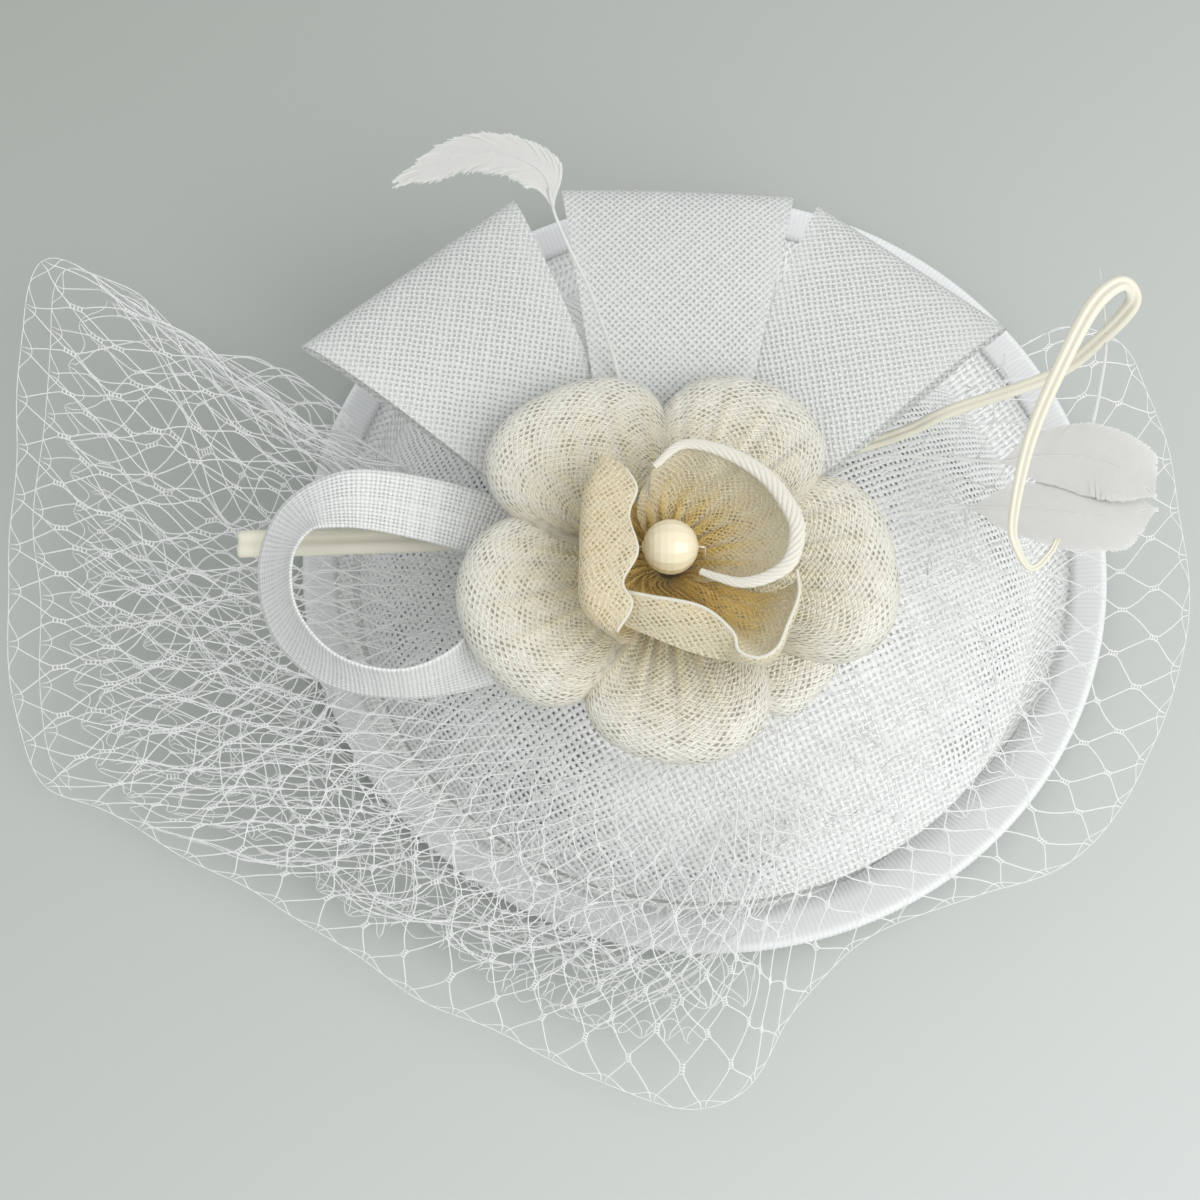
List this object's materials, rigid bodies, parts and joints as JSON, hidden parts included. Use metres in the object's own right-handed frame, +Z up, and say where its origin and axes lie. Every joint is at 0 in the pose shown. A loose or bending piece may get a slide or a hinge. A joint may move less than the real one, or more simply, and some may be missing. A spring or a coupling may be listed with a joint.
{
  "type": "fascinator headpiece",
  "caption": "Round fascinator with a shallow crown, folded cloth loops, a cloth flower with a pearl bead, feathers, a curled quill and a netting veil, worn on hair clips.",
  "frame": {"origin": "bottom centre of the bounding box, level with the underside of the pressed crease that the base rests on", "axes": "+Z up out of the crown, -Y towards the front edge of the veil, +X towards the curled end of the quill"},
  "size_m": [0.285, 0.2348, 0.0995],
  "materials": {
    "base_sinamay": "open weave, two layers, stiffened",
    "grosgrain": "ribbed satin",
    "wire_steel": "drawn",
    "felt": "matte felt",
    "clip_steel": "nickel plated",
    "loop_sinamay": "open bias weave, folded double",
    "tape": "close woven tape",
    "veil_net": "open netting",
    "quill_horn": "satin keratin",
    "feather": "soft barbs",
    "petal_sinamay": "open bias weave, cream",
    "pearl": "pearlescent, faceted",
    "thread": "twisted thread"
  },
  "bodies": {
    "headpiece": {"base_dome": "base_sinamay", "rim_binding": "grosgrain", "brim_wire": "wire_steel", "felt_pad": "felt", "hair_clip_front_plate": "clip_steel", "hair_clip_front_pin": "wire_steel", "hair_clip_front_spring": "wire_steel", "hair_clip_back_plate": "clip_steel", "hair_clip_back_pin": "wire_steel", "hair_clip_back_spring": "wire_steel", "trim_disc": "felt", "loop_left": "loop_sinamay", "loop_middle": "loop_sinamay", "loop_right": "loop_sinamay", "tape_loop": "tape", "quill": "quill_horn", "flag_feather_shaft": "feather", "flag_feather_vane": "feather", "side_feather_back_shaft": "feather", "side_feather_back_vane": "feather", "side_feather_front_shaft": "feather", "side_feather_front_vane": "feather", "veil_upper": "veil_net", "veil_lower_left": "veil_net", "veil_lower_front": "veil_net", "outer_petal_back_left": "petal_sinamay", "outer_petal_back_right": "petal_sinamay", "outer_petal_right": "petal_sinamay", "outer_petal_front_right": "petal_sinamay", "outer_petal_front": "petal_sinamay", "outer_petal_left": "petal_sinamay", "inner_petal_left": "petal_sinamay", "inner_petal_right": "petal_sinamay", "inner_petal_front": "petal_sinamay", "pearl_bead": "pearl", "bead_thread": "thread"},
    "front_clip_lever": {"hair_clip_front_lever": "clip_steel"},
    "back_clip_lever": {"hair_clip_back_lever": "clip_steel"}
  },
  "joints": [
    {"name": "front_clip_hinge", "type": "hinge", "parent": "headpiece", "child": "front_clip_lever", "pos_m": [0.03593, 0.00099, 0.032], "axis": [0, -1, 0], "range_deg": [0, 30], "stiffness_Nm_per_rad": 0.05, "springref_deg": -17.19},
    {"name": "back_clip_hinge", "type": "hinge", "parent": "headpiece", "child": "back_clip_lever", "pos_m": [0.03593, 0.02699, 0.032], "axis": [0, -1, 0], "range_deg": [0, 30], "stiffness_Nm_per_rad": 0.05, "springref_deg": -17.19}
  ]
}
